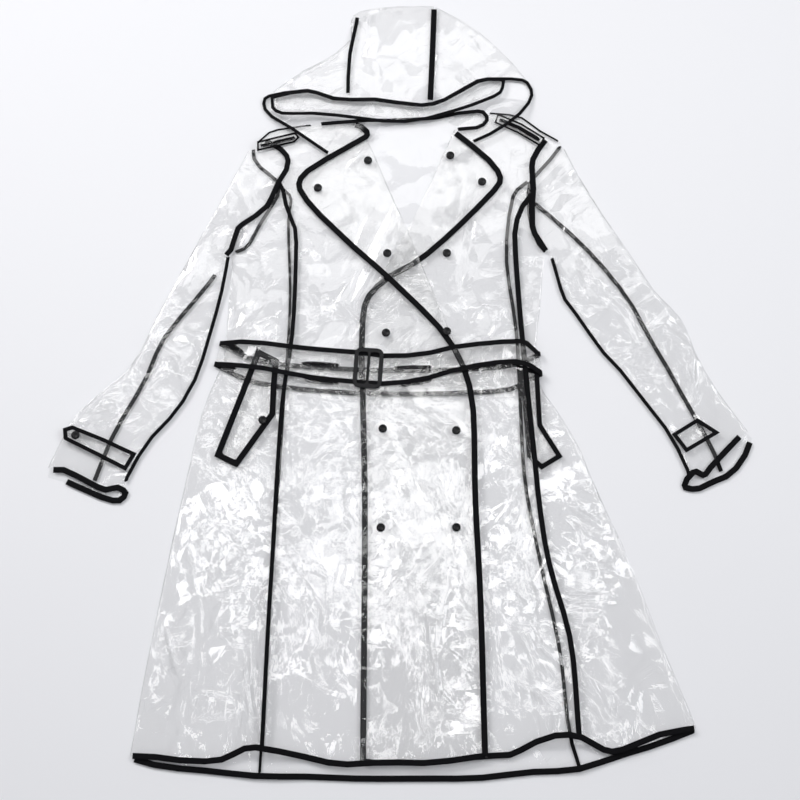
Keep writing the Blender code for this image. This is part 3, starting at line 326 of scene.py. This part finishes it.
def film_material(name, shift, turn=0.0, gloss_share=2.0, tint=0.984, shaded=0.84, patches=()):
    """Clear glossy film, lightly grey. Sharp crinkles catch the light, most of all in its patches. Painted
    shade darkens its see-through colour where it is steep.
    """
    made = bpy.data.materials.new(name)
    made.use_nodes = True
    nodes, links = made.node_tree.nodes, made.node_tree.links
    nodes.clear()

    def node_of(kind, values, **settings):
        """A node with its settings, and with each of its inputs linked or set."""
        node = nodes.new(kind)
        for setting, value in settings.items():
            setattr(node, setting, value)
        for socket, value in values.items():
            if isinstance(value, bpy.types.NodeSocket):
                links.new(value, node.inputs[socket])
            else:
                node.inputs[socket].default_value = value
        return node

    def maths(operation, *values):
        return node_of("ShaderNodeMath", dict(enumerate(values)), operation=operation).outputs[0]

    def vectors(operation, *values):
        return node_of("ShaderNodeVectorMath", dict(enumerate(values)), operation=operation).outputs

    def noise(vector, scale, detail=2, roughness=0.5):
        return node_of("ShaderNodeTexNoise", {"Vector": vector, "Scale": scale, "Detail": detail,
                                              "Roughness": roughness}, noise_dimensions="2D").outputs

    def ramp(value, low, high, least, most):
        return node_of("ShaderNodeMapRange", {
            "Value": value, "From Min": low, "From Max": high, "To Min": least, "To Max": most,
        }, interpolation_type="SMOOTHSTEP").outputs["Result"]

    # The film's own plane; its height comes in too, so that layers and folds differ
    place = nodes.new("ShaderNodeTexCoord").outputs["Object"]
    split = node_of("ShaderNodeSeparateXYZ", {0: place})
    flat = node_of("ShaderNodeCombineXYZ", {
        0: maths("MULTIPLY_ADD", split.outputs[2], LAYER_X, split.outputs[0]),
        1: maths("MULTIPLY_ADD", split.outputs[2], LAYER_Y, split.outputs[1]),
    })
    turned = node_of("ShaderNodeMapping", {
        "Vector": flat.outputs[0], "Location": (shift, 1.7 * shift, 0),
        "Rotation": (0, 0, math.radians(turn)), "Scale": (1, FACET_SHAPE, 1),
    }).outputs[0]
    bend = noise(turned, BENDS)["Color"]
    wander = vectors("MULTIPLY_ADD", bend, (SWAY, SWAY, 0), turned)["Vector"]

    def facets(scale):
        """Flat facets, each tilted its own way."""
        cell = node_of("ShaderNodeTexVoronoi", {"Vector": wander, "Scale": scale}, voronoi_dimensions="2D")
        offset = vectors("SUBTRACT", wander, cell.outputs["Position"])["Vector"]
        tilt = vectors("SUBTRACT", cell.outputs["Color"], (0.5, 0.5, 0.5))["Vector"]
        return vectors("DOT_PRODUCT", offset, tilt)["Value"]

    def from_patch(x, y, wide, high, tilt):
        """Distance from the middle of a crumpled patch: one at its rim."""
        local = node_of("ShaderNodeMapping", {
            "Vector": place, "Location": (x * MM, y * MM, 0), "Rotation": (0, 0, math.radians(tilt)),
            "Scale": (wide * MM, high * MM, 1e6),
        }, vector_type="TEXTURE")
        return vectors("LENGTH", local.outputs[0])["Value"]

    # Where the film is calm and where it is crumpled: more so in the upper half, most in the patches
    calm = noise(wander, CALM_AREAS)["Fac"]
    upper = ramp(split.outputs[1], -0.15, 0.15, 0.0, 0.14)
    busy = ramp(maths("ADD", calm, upper), 0.56, 0.70, *CRUMPLED)
    for row in patches:
        inside = maths("MULTIPLY", maths("SUBTRACT", from_patch(*row), calm), -1.0)
        busy = maths("MAXIMUM", busy, ramp(inside, -0.75, -0.20, 0.0, IN_PATCH))

    # The film's height: facets where it is crumpled, then grain, broad waves and fine streaks
    height = maths("MULTIPLY", facets(LARGE_FACETS), LARGE_SLOPE)
    height = maths("MULTIPLY_ADD", facets(SMALL_FACETS), SMALL_SLOPE, height)
    height = maths("MULTIPLY", height, busy)
    height = maths("MULTIPLY_ADD", noise(turned, GRAIN, 3, 0.6)["Fac"], GRAIN_DEPTH, height)
    height = maths("MULTIPLY_ADD", noise(turned, WAVES, 2, 0.45)["Fac"], WAVE_DEPTH, height)
    streaks = node_of("ShaderNodeMapping", {"Vector": turned, "Scale": (1, STREAK_SHAPE, 1)}).outputs[0]
    height = maths("MULTIPLY_ADD", noise(streaks, STREAKS)["Fac"], STREAK_DEPTH, height)
    bump = node_of("ShaderNodeBump", {"Strength": 1, "Distance": 1.0, "Height": height}).outputs[0]

    # Clear where it is flat, more of a mirror where it is steep, and darker there with painted shade in its
    # see-through colour
    slope = node_of("ShaderNodeLayerWeight", {"Blend": 0.5, "Normal": bump}).outputs["Facing"]
    painted_steep_shade = node_of("ShaderNodeMapRange", {"Value": slope, "From Min": STEEP_FROM, "From Max": STEEP_TO,
                                           "To Max": STEEP_SHADE})
    shade = nodes.new("ShaderNodeMix")
    shade.data_type = "RGBA"
    shade.inputs["A"].default_value = (tint, tint, 0.997 * tint, 1)
    shade.inputs["B"].default_value = (shaded * tint, shaded * tint, shaded * tint, 1)
    links.new(painted_steep_shade.outputs["Result"], shade.inputs["Factor"])
    clear = node_of("ShaderNodeBsdfTransparent", {"Color": shade.outputs["Result"]})
    gloss = node_of("ShaderNodeBsdfGlossy", {"Color": (1, 1, 1, 1), "Roughness": 0.02, "Normal": bump})
    mirror = maths("MULTIPLY_ADD", maths("POWER", slope, 5.0), (1 - MIRRORED) * gloss_share,
                   MIRRORED * gloss_share)
    seen = node_of("ShaderNodeMixShader", {0: mirror, 1: clear.outputs[0], 2: gloss.outputs[0]})
    path = nodes.new("ShaderNodeLightPath")
    shadow = node_of("ShaderNodeBsdfTransparent", {"Color": (0.975, 0.975, 0.975, 1)})
    switch = node_of("ShaderNodeMixShader", {
        0: path.outputs["Is Shadow Ray"], 1: seen.outputs[0], 2: shadow.outputs[0],
    })
    node_of("ShaderNodeOutputMaterial", {"Surface": switch.outputs[0]})
    return made


def film(name, creases, patches=(), shift=0.0, turn=0.0, on_floor=False):
    """The film of a node: its outside as a thin shell, creased."""
    points, faces = node_mesh(name)
    faces = faces[outer_side(points, faces)]
    points, faces = split_long(*without_spare(points, faces), FILM_EDGE)
    points, faces = split_on_creases(points, faces, creases if on_floor else CREASES + creases)
    if on_floor:
        points = creased(points, creases)
    CREASES.extend(creases)
    if not on_floor:
        points = creased(points)
    clear = film_material(name + "_clear", shift, turn, patches=patches)
    made = piece(name + "_film", points, faces, [clear])
    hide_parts(name)


film("back_panel", on_floor=True, shift=0.31, turn=4, creases=[
    # x0, y0, x1, y1, height, width
    (-150, -600, -120, -330, 0.8, 8),
    (-40, -380, 60, -410, 0.6, 6),
    (40, -640, 90, -250, 0.6, 8),
    (170, -560, 120, -200, 0.8, 9),
    (-60, -420, 70, -330, 0.6, 6),
    (-180, -500, -110, -540, 0.6, 6),
    (60, -560, 150, -590, 0.6, 6),
    (-170, -80, 140, -40, 0.4, 7),
    (-90, -150, -60, -30, 0.4, 5),
    (70, -170, 90, -20, 0.4, 5),
    (-120, 120, -40, 330, 0.6, 8),
    (90, 160, 150, 380, 0.6, 7),
])

# ---------------------------------------------------------------- Under sleeves
# The narrow lower pieces of the two sleeves, of the same film, lie on the floor. A strip of black
# vinyl tape on the film closes the seam along the middle of each sleeve.
TAPE_EDGE = 0.007  # longest edge of the tape's triangles
TAPE_ROLL = 0.0014  # width of the rolled edge
TAPE_DROP = 0.0005  # and how far it drops
TAPE_WIDTH = 9.0  # of the frame's strips, in millimetres


def rim_edges(points, faces, along=None):
    """The edges of a strip's or small piece's narrow sides; along=1 keeps those that face along Y."""
    side, size, _ = wall_sides(points, faces)
    rim = (size < RIM_SHARE * size.max())[side]
    if along is not None:
        facing = np.abs(normals(points, faces))
        rim &= facing[:, along] > facing[:, 1 - along]
    edges = faces[rim][:, [0, 1, 1, 2, 2, 0]].reshape(-1, 2)
    return points[edges[:, 0]], points[edges[:, 1]] - points[edges[:, 0]]


def with_distance(points, edges):
    """Adds a fourth column to the points: how far each is from the nearest of the edges."""
    nearest = np.full(len(points), np.inf)
    for start, way in zip(*edges):
        along = np.clip(((points - start) @ way) / (way @ way), 0, 1)
        nearest = np.minimum(nearest, np.linalg.norm(points - start - along[:, None] * way, axis=1))
    return np.column_stack([points, nearest])


def cut_at(points, faces, distance):
    """Splits the triangles along the line where the fourth column has a certain value."""
    def over(first, last):
        before, after = first[:, 3] - distance, last[:, 3] - distance
        crossed = before * after < 0
        return crossed, np.where(crossed, before / np.where(crossed, before - after, 1), 0.5)

    points, faces, _ = split_edges(points, faces, over)
    return points, faces


def tape_material(name):
    """Satin black binding with the fine grain of embossed vinyl."""
    made = bpy.data.materials.new(name)
    made.use_nodes = True
    nodes, links = made.node_tree.nodes, made.node_tree.links
    shader = nodes["Principled BSDF"]
    shader.inputs["Base Color"].default_value = (0.004, 0.004, 0.005, 1)
    shader.inputs["Specular IOR Level"].default_value = 0.06
    shader.inputs["Roughness"].default_value = 0.55
    grain = nodes.new("ShaderNodeTexNoise")
    grain.inputs["Scale"].default_value = 300
    grain.inputs["Detail"].default_value = 3
    bump = nodes.new("ShaderNodeBump")
    bump.inputs["Strength"].default_value = 0.4
    bump.inputs["Distance"].default_value = 0.0008
    links.new(grain.outputs["Fac"], bump.inputs["Height"])
    links.new(bump.outputs[0], shader.inputs["Normal"])
    return made


black_tape = tape_material("binding_tape")


def spread(points, faces, amount):
    """Moves the rim of a strip outwards, so that the strip is wider by twice the amount."""
    side, size, _ = wall_sides(points, faces)
    rim = faces[(size < RIM_SHARE * size.max())[side]]
    out = np.zeros(points.shape)
    for corner in range(3):
        np.add.at(out, rim[:, corner], normals(points, rim))
    out[:, 2] = 0
    return points + amount * out / np.maximum(np.linalg.norm(out, axis=1), 1e-9)[:, None]


def binding(name, width=10.0):
    """A strip of binding tape with softly rolled edges; it follows the creases under it."""
    points, faces = node_mesh(name)
    points = spread(points, faces, max(width - TAPE_WIDTH, 0) / 2 * MM)
    edges = rim_edges(points, faces)
    points, faces = split_long(points, faces, TAPE_EDGE)
    points = with_distance(points, edges)
    trim = max(TAPE_WIDTH - width, 0) / 2 * MM
    if trim:
        points, faces = cut_at(points, faces, trim)
        points, faces = without_spare(points, faces[points[faces][..., 3].mean(axis=1) > trim])
    points, faces = cut_at(points, faces, trim + TAPE_ROLL)
    roll = np.clip(1 - (points[:, 3] - trim) / TAPE_ROLL, 0, 1)
    top = np.zeros(len(points), bool)
    top[faces[normals(points[:, :3], faces)[:, 2] > 0.4]] = True
    points[:, 2] -= np.where(top, TAPE_DROP * roll**2, 0)
    made = piece(name + "_strip", creased(points[:, :3]), faces, [black_tape])
    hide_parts(name)


film("under_sleeve_right", on_floor=True, shift=0.9, turn=-32, creases=[
    # x0, y0, x1, y1, height, width
    (-450, -60, -400, 30, 0.4, 6),
    (-390, 60, -350, 160, 0.4, 6),
])
film("under_sleeve_left", on_floor=True, shift=1.3, turn=36, creases=[
    # x0, y0, x1, y1, height, width
    (440, -60, 390, 50, 0.4, 6),
    (360, 120, 310, 210, 0.4, 6),
])
for side in ("right", "left"):
    binding("tape_sleeve_middle_" + side, 7)

# ---------------------------------------------------------------- Binding of the back seams
# The same tape, sewn over the raw edges of the film, on the two back seams, the hem's back half and
# the backs of the armholes. It shows through the front of the coat.
binding("tape_princess_back_right", 4.5)
binding("tape_princess_back_left", 6)
binding("tape_hem_back")
binding("tape_armhole_back_right", 6)
binding("tape_armhole_back_left", 6)

# ---------------------------------------------------------------- Left side panel
# One panel of film from the left back seam round the side to the left front seam. The coat has no
# seam at its side, so the panel is only folded there.
film("side_panel_left", shift=2.1, turn=-52, creases=[
    # x0, y0, x1, y1, height, width
    (268, -216, 338, -262, 1.5, 7),
    (270, -180, 338, -212, 0.8, 4),
    (272, -240, 330, -300, 1.0, 5),
    (284, -300, 366, -345, 1.7, 8),
    (274, -374, 366, -378, 1.4, 6),
    (276, -392, 362, -390, 1.0, 5),
    (300, -470, 332, -422, 1.7, 6),
    (358, -455, 380, -466, 1.0, 5),
    (330, -560, 318, -480, 1.0, 8),
    (262, -60, 236, 20, 1.2, 7),
    (222, 110, 226, 230, 0.9, 6),
], patches=[
    # x, y, half width, half height, turn
    (305, -235, 48, 50, -30),
    (325, -325, 55, 32, -15),
    (318, -384, 50, 18, 0),
    (316, -445, 26, 34, -30),
])

# ---------------------------------------------------------------- Left sleeve
# The wide upper piece of the left sleeve, of film, folded along its outer edge and sewn into the
# armhole.
film("sleeve_left", shift=2.9, turn=38, creases=[
    # x0, y0, x1, y1, height, width
    (500, 60, 496, -50, 1.8, 8),
    (478, 40, 505, -20, 1.2, 6),
    (360, 45, 430, 38, 1.4, 6),
    (372, 20, 440, 8, 1.2, 6),
    (395, 250, 330, 360, 1.0, 5),
    (380, 250, 318, 352, 0.8, 4),
    (430, 190, 470, 110, 1.2, 6),
    (300, 370, 262, 330, 1.4, 8),
    (330, 300, 285, 250, 1.2, 7),
    (360, 160, 300, 190, 1.2, 8),
    (300, 230, 350, 205, 1.0, 6),
    (460, -60, 500, -40, 1.2, 7),
], patches=[
    # x, y, half width, half height, turn
    (290, 320, 45, 70, 30),
    (400, 25, 60, 45, -30),
    (495, -5, 22, 70, -10),
    (345, 190, 60, 30, -40),
])

# ---------------------------------------------------------------- Left pocket flap
# A slanted flap of film, bound with tape. It lies under the left front and shows through it.
# Small pieces like this one are one mesh, clear inside and black along the edges.
STRAP_EDGE = 0.006  # longest edge of the triangles


def bound_film(name, band, creases=(), shift=0.0, turn=0.0, along=None):
    """A small piece with its own binding: clear inside, with a black band along its free edges."""
    points, faces = node_mesh(name)
    edges = rim_edges(points, faces, along)
    points, faces = split_long(points, faces, STRAP_EDGE)
    points, faces = cut_at(with_distance(points, edges), faces, band * MM)
    black = points[faces][..., 3].mean(axis=1) < band * MM
    CREASES.extend(creases)
    # The small pieces get less painted shade on their steep parts than the large films.
    clear = film_material(name + "_clear", shift, turn, gloss_share=1.0, tint=0.99, shaded=0.96)
    made = piece(name + "_film", creased(points[:, :3]), faces, [clear, black_tape], index=black)
    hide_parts(name)


bound_film("pocket_flap_left", 8.0, shift=3.3, turn=20)

# ---------------------------------------------------------------- Left front
# The front that lies underneath: one piece of film with its lapel, which is turned back. Tape binds
# its front edge, its part of the hem, the front seam and the front of the armhole.
film("front_left", shift=3.7, turn=35, creases=[
    # x0, y0, x1, y1, height, width
    (177, -358, 216, -392, 1.8, 7),
    (185, -404, 240, -399, 1.4, 5),
    (181, -416, 214, -449, 1.7, 6),
    (214, -449, 262, -490, 1.2, 4),
    (207, -528, 262, -554, 1.7, 7),
    (184, -300, 204, -318, 1.2, 5),
    (178, -240, 204, -275, 0.9, 4),
    (142, -560, 128, -240, 1.0, 5),
    (165, -600, 160, -420, 0.8, 5),
    (70, -590, 40, -380, 1.2, 8),
    (180, -220, 172, -60, 0.9, 5),
    (196, 345, 200, 440, 0.6, 3),
    (207, 350, 210, 440, 0.6, 3),
    (217, 340, 222, 430, 0.4, 3),
    (100, 130, 140, 300, 1.0, 7),
], patches=[
    # x, y, half width, half height, turn
    (205, -375, 30, 25, -30),
    (218, -440, 45, 30, -35),
    (235, -545, 32, 16, -20),
    (135, 20, 50, 60, 0),
])
binding("tape_princess_front_left", 9)
binding("tape_hem_left")
binding("tape_armhole_front_left")
binding("tape_edge_left")

# ---------------------------------------------------------------- Right side panel
# One panel of film from the right back seam round the side to the right front seam, folded at the
# side as the left one is.
film("side_panel_right", shift=4.6, turn=60, creases=[
    # x0, y0, x1, y1, height, width
    (-391, -424, -366, -505, 2.0, 7),
    (-340, -383, -372, -434, 1.4, 6),
    (-328, -535, -252, -562, 1.7, 7),
    (-335, -576, -285, -579, 1.0, 4),
    (-246, -478, -227, -622, 2.1, 6),
    (-288, -434, -254, -449, 1.2, 6),
    (-345, -340, -250, -300, 1.5, 7),
    (-330, -388, -245, -352, 1.5, 8),
    (-300, -250, -238, -330, 1.2, 6),
    (-352, -290, -322, -385, 1.2, 6),
    (-275, -185, -235, -230, 0.9, 4),
    (-285, -120, -245, -20, 1.0, 7),
    (-270, 110, -240, 220, 1.0, 7),
    (-230, 120, -250, 290, 0.9, 6),
], patches=[
    # x, y, half width, half height, turn
    (-290, -318, 78, 72, 10),
    (-380, -462, 20, 55, 15),
    (-292, -552, 52, 24, -18),
    (-270, -442, 30, 16, -20),
    (-240, -545, 14, 80, 8),
])

# ---------------------------------------------------------------- Right sleeve
# The wide upper piece of the right sleeve, of film, folded along its outer edge and sewn into the
# armhole.
film("sleeve_right", shift=5.4, turn=-36, creases=[
    # x0, y0, x1, y1, height, width
    (-325, 318, -400, 190, 1.5, 7),
    (-345, 330, -440, 160, 1.2, 6),
    (-400, 190, -470, 60, 1.2, 6),
    (-440, 150, -490, 50, 1.0, 5),
    (-390, 45, -350, -60, 1.5, 9),
    (-430, 60, -370, 20, 1.2, 7),
    (-520, -60, -480, 10, 1.2, 7),
    (-500, -90, -440, -70, 1.2, 6),
    (-300, 250, -250, 230, 1.2, 7),
    (-340, 150, -290, 160, 1.2, 7),
    (-290, 370, -240, 372, 1.2, 8),
], patches=[
    # x, y, half width, half height, turn
    (-370, 240, 35, 130, -32),
    (-375, 10, 45, 60, -20),
    (-300, 250, 50, 40, 0),
    (-520, -70, 40, 30, 0),
])

# ---------------------------------------------------------------- Right front
# The front that laps over, cut in one piece of film with its lapel, which is turned back. Tape binds
# it as it does the left front.
film("front_right", shift=6.3, turn=-28, creases=[
    # x0, y0, x1, y1, height, width
    (-194, -280, -162, -372, 1.5, 7),
    (-158, -325, -178, -484, 1.2, 5),
    (-104, -315, -133, -452, 1.8, 7),
    (-66, -112, -120, -150, 1.2, 6),
    (-128, -200, -66, -172, 1.2, 6),
    (-159, -190, -153, -255, 1.0, 4),
    (-196, -45, -190, -240, 0.6, 3),
    (-186, -60, -180, -230, 0.6, 3),
    (-176, -45, -172, -200, 0.4, 3),
    (-50, -383, 0, -342, 1.2, 5),
    (0, -342, 66, -384, 1.2, 5),
    (-34, -406, 116, -418, 1.0, 5),
    (72, -462, 116, -502, 1.8, 8),
    (56, -530, 98, -566, 1.2, 5),
    (-42, -528, -24, -548, 1.2, 5),
    (-56, -576, -26, -620, 1.2, 6),
    (24, -620, 50, -592, 1.2, 5),
    (-90, -606, -64, -636, 1.2, 6),
    (-58, -36, -50, -82, 0.6, 3),
    (-38, -34, -34, -90, 0.6, 3),
    (-20, -36, -14, -76, 0.6, 3),
    (4, -34, 2, -84, 0.6, 3),
    (96, -100, 90, -330, 0.9, 6),
    (-140, 90, -128, 250, 1.2, 8),
    (-70, 130, 10, 190, 0.9, 7),
    (-100, 360, -50, 420, 0.9, 6),
], patches=[
    # x, y, half width, half height, turn
    (25, -215, 85, 130, 0),
    (-170, -330, 26, 60, 12),
    (-85, -160, 55, 55, 30),
    (10, -375, 90, 32, 0),
    (96, -482, 30, 28, -30),
    (78, -548, 28, 14, -35),
    (-40, -598, 30, 26, 40),
    (36, -606, 20, 16, 40),
])
binding("tape_princess_front_right", 7)
binding("tape_hem_right")
binding("tape_armhole_front_right", 9)
binding("tape_edge_right")

# ---------------------------------------------------------------- Shoulders, sleeve seams and cuffs
# The same tape on the shoulder seams, along the inner seams of the sleeves and round the open ends
# of the two cuffs.
for side in ("right", "left"):
    binding("tape_shoulder_" + side, 3)
    binding("tape_sleeve_inner_" + side, 6)
    binding("tape_cuff_" + side)

# ---------------------------------------------------------------- Right pocket flap
# A slanted flap of film, bound with tape, lies on the right side panel beside the front seam. A
# snap near its front edge holds it.
bound_film("pocket_flap_right", 10.0, shift=7.2, turn=-30)

# ---------------------------------------------------------------- Epaulettes
# A narrow strap of bound film lies on each shoulder, beside the hood. They are seen almost edge on,
# so little of their film shows.
bound_film("epaulette_right", 2.9, shift=7.7)
bound_film("epaulette_left", 2.7, shift=8.1)

# ---------------------------------------------------------------- Cuff straps
# A strap of bound film lies across each cuff. The right one shows its pointed end, which a snap
# holds.
bound_film("cuff_strap_right", 6.6, shift=8.5)
bound_film("cuff_strap_left", 6.4, shift=8.9)

# ---------------------------------------------------------------- Hood
# A centre panel and two side panels of film, folded flat along the crown and the sides. Tape binds
# the two seams between them, the neck and the opening for the face.
film("hood_centre", shift=9.4, creases=[
    # x0, y0, x1, y1, height, width
    (-60, 550, -50, 680, 1.5, 9),
    (30, 540, 20, 670, 1.2, 8),
])
film("hood_side_right", shift=9.9, turn=40, creases=[
    # x0, y0, x1, y1, height, width
    (-190, 550, -120, 600, 1.4, 9),
    (-150, 480, -100, 520, 1.0, 7),
])
film("hood_side_left", shift=10.4, turn=-40, creases=[
    # x0, y0, x1, y1, height, width
    (150, 570, 100, 650, 1.5, 9),
    (80, 560, 90, 640, 1.2, 8),
    (180, 520, 120, 500, 1.0, 7),
])
binding("tape_neck", 6.5)
binding("tape_hood_seam_right", 6.5)
binding("tape_hood_seam_left")
binding("tape_face", 5.6)

# ---------------------------------------------------------------- Visor
# A crescent of bound film, sewn to the front edge of the hood's opening and turned back over the
# hood. Its outer edge has its own tape.
bound_film("visor", 5.4, shift=10.9)

# ---------------------------------------------------------------- Belt
# One closed band of film, bound along both its edges. Its back half lies on the floor under the
# coat, and its front half runs over the fronts.
bound_film("belt", 8.0, shift=11.3, turn=90, along=1, creases=[
    # x0, y0, x1, y1, height, width
    (-240, 70, -170, 60, 0.8, 6),
    (40, 60, 130, 70, 0.8, 6),
])

# ---------------------------------------------------------------- Buckle
# A rounded slide of glossy black moulded plastic with a middle bar. The belt runs through it, and it
# lies on the belt in front.
BUCKLE_ROUNDING = 0.9 * MM
SHARPEST_SMOOTH = 35  # degrees


def plastic(name, roughness):
    """Glossy black plastic with the slight waves of a moulding."""
    made = bpy.data.materials.new(name)
    made.use_nodes = True
    nodes, links = made.node_tree.nodes, made.node_tree.links
    shader = nodes["Principled BSDF"]
    shader.inputs["Base Color"].default_value = (0.004, 0.004, 0.005, 1)
    shader.inputs["Roughness"].default_value = roughness
    shader.inputs["Specular IOR Level"].default_value = 0.3
    waves = nodes.new("ShaderNodeTexNoise")
    waves.inputs["Scale"].default_value = 90
    bump = nodes.new("ShaderNodeBump")
    bump.inputs["Strength"].default_value = 0.2
    bump.inputs["Distance"].default_value = 0.0008
    links.new(waves.outputs["Fac"], bump.inputs["Height"])
    links.new(bump.outputs[0], shader.inputs["Normal"])
    return made


def lift_under(low, high):
    """How far the creases raise the film under a hard piece of this plan."""
    steps = np.linspace(0, 1, 9)
    grid = np.array([[low[0] + u * (high[0] - low[0]), low[1] + v * (high[1] - low[1]), low[2]]
                     for u in steps for v in steps])
    return crease_height(grid, CREASES).max()


points, faces = node_mesh("buckle")
points[:, 2] += lift_under(points.min(axis=0), points.max(axis=0))
buckle = piece("buckle_slide", points, faces, [plastic("buckle_plastic", 0.24)], SHARPEST_SMOOTH)
rounded = buckle.modifiers.new("rounded", "BEVEL")
rounded.width = BUCKLE_ROUNDING
rounded.segments = 3
rounded.limit_method = "ANGLE"
rounded.angle_limit = math.radians(SHARPEST_SMOOTH)
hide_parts("buckle")

# ---------------------------------------------------------------- Snaps
# Round caps of black plastic with a raised ring and a dimple, pressed through the film: four on the
# lapels, eight on the fronts, one on the right flap and one on the right cuff strap.
SNAP_PROFILE = [
    # share of radius, share of height
    (0.0, 0.62), (0.20, 0.62), (0.34, 0.66), (0.44, 0.82), (0.56, 0.97), (0.68, 1.0), (0.82, 0.92),
    (0.93, 0.74), (0.99, 0.48), (1.0, 0.24), (0.97, 0.0),
]
SNAP_SEGMENTS = 40
snap_black = plastic("snap_plastic", 0.2)


def snap_cap(name):
    """The profile turned round the middle of a snap's node, on top of the creases there."""
    points, _ = node_mesh(name)
    low, high = points.min(axis=0), points.max(axis=0)
    middle = (low + high) / 2
    radius = (high[0] - low[0]) / 2
    height = high[2] - low[2]
    z = low[2] + lift_under(low, high)
    points = [(middle[0], middle[1], z + SNAP_PROFILE[0][1] * height)]
    faces = []
    for ring, (out, up) in enumerate(SNAP_PROFILE[1:]):
        first = 1 + ring * SNAP_SEGMENTS
        for k in range(SNAP_SEGMENTS):
            turn = 2 * math.pi * k / SNAP_SEGMENTS
            points.append((middle[0] + out * radius * math.cos(turn),
                           middle[1] + out * radius * math.sin(turn), z + up * height))
            here, beside = first + k, first + (k + 1) % SNAP_SEGMENTS
            if ring == 0:
                faces.append((0, here, beside))
            else:
                faces.append((here - SNAP_SEGMENTS, here, beside, beside - SNAP_SEGMENTS))
    mesh = bpy.data.meshes.new(name)
    mesh.from_pydata(points, [], faces)
    mesh.materials.append(snap_black)
    mesh.shade_smooth()
    cap = bpy.data.objects.new(name + "_cap", mesh)
    bpy.context.scene.collection.objects.link(cap)
    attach(cap, "root")
    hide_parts(name)


for node in sorted(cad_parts):
    if node.startswith("snap_"):
        snap_cap(node)
